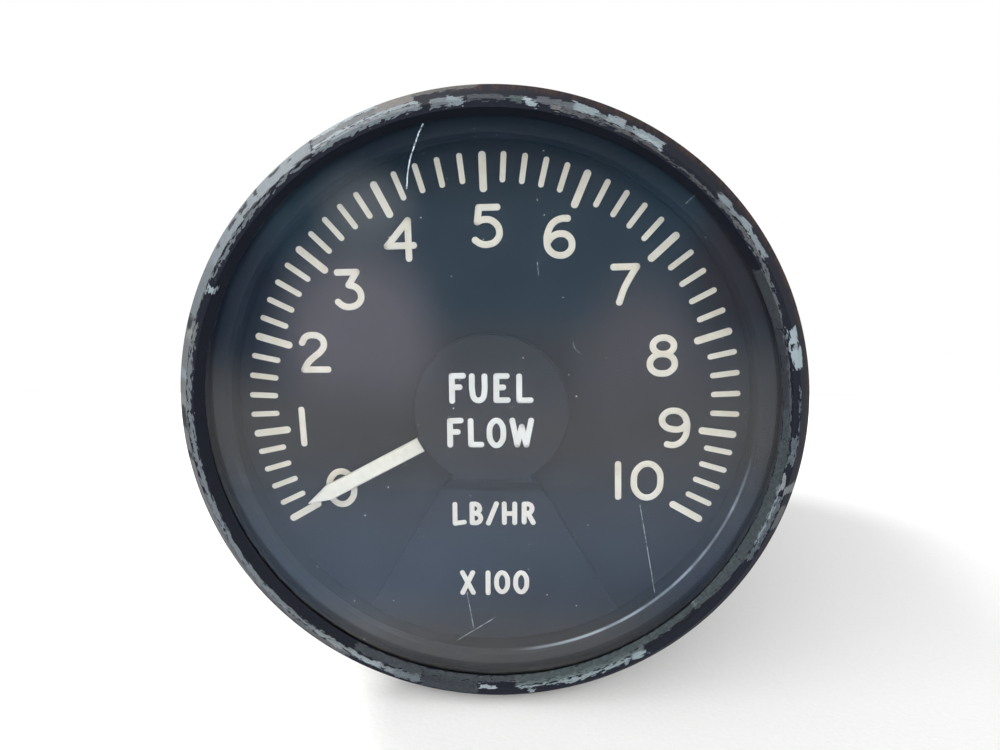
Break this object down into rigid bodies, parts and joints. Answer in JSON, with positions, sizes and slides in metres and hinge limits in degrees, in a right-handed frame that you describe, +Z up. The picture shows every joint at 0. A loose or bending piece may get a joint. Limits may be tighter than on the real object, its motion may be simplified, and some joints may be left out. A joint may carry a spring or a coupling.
{
  "type": "fuel flow gauge",
  "caption": "Round aircraft fuel flow indicator: rolled bezel and glass over a black dial with a pointer, a synchro movement in a drawn can and a receptacle behind.",
  "frame": {"origin": "on the dial's axis, in the bezel's rear face, which seats on the panel", "axes": "+Y along the axis into the case, so the dial looks along -Y; +Z up; +X to the right as the dial is read"},
  "size_m": [0.0826, 0.1164, 0.0826],
  "materials": {
    "bezel_paint": "semi-gloss black, worn to bare metal along the rim",
    "glass": "clear, lightly scratched",
    "rubber": "matt",
    "dial_black": "matt black",
    "legend_black": "satin black, bare thin edge",
    "mark_cream": "matt cream",
    "pointer_white": "matt white",
    "brass": "turned",
    "plated_steel": "plated",
    "shaft_steel": "ground",
    "frame_aluminium": "machined",
    "lamination_steel": "stacked laminations",
    "copper_winding": "enamelled wire",
    "insulator": "laminated board",
    "carbon": "carbon",
    "lead_insulation": "smooth sleeve",
    "case_paint": "satin black",
    "shell_finish": "olive plated",
    "insert_plastic": "moulded",
    "gold_pins": "gold plated"
  },
  "bodies": {
    "case": {"bezel_ring": "bezel_paint", "cover_glass": "glass", "glass_gasket": "rubber", "mask_ring": "dial_black", "case_gasket": "rubber", "dial_plate": "dial_black", "dial_marks": "mark_cream", "legend_plate": "legend_black", "legend_screws": "plated_steel", "movement_ring": "frame_aluminium", "dial_screws": "plated_steel", "frame_posts": "frame_aluminium", "mounting_plate": "frame_aluminium", "post_screws": "plated_steel", "synchro_housing": "frame_aluminium", "synchro_clamps": "plated_steel", "clamp_screws": "plated_steel", "front_bearing": "shaft_steel", "rear_bearing": "shaft_steel", "stator_stack": "lamination_steel", "stator_winding": "copper_winding", "brush_block": "insulator", "brushes": "carbon", "synchro_end_cap": "frame_aluminium", "terminal_board": "insulator", "terminals": "brass", "lead_wires": "lead_insulation", "case_can": "case_paint", "connector_gasket": "rubber", "connector_shell": "shell_finish", "connector_insert": "insert_plastic", "connector_pins": "gold_pins", "connector_screws": "plated_steel", "connector_nuts": "plated_steel"},
    "pointer": {"pointer": "pointer_white", "counterweight": "brass", "pointer_hub": "brass", "rotor_shaft": "shaft_steel", "rotor_core": "lamination_steel", "rotor_winding": "copper_winding", "slip_ring_sleeve": "insulator", "slip_rings": "brass"}
  },
  "joints": [
    {"name": "pointer_turn", "type": "hinge", "parent": "case", "child": "pointer", "pos_m": [0, 0, 0], "axis": [0, 1, 0], "range_deg": [0, 240]}
  ]
}
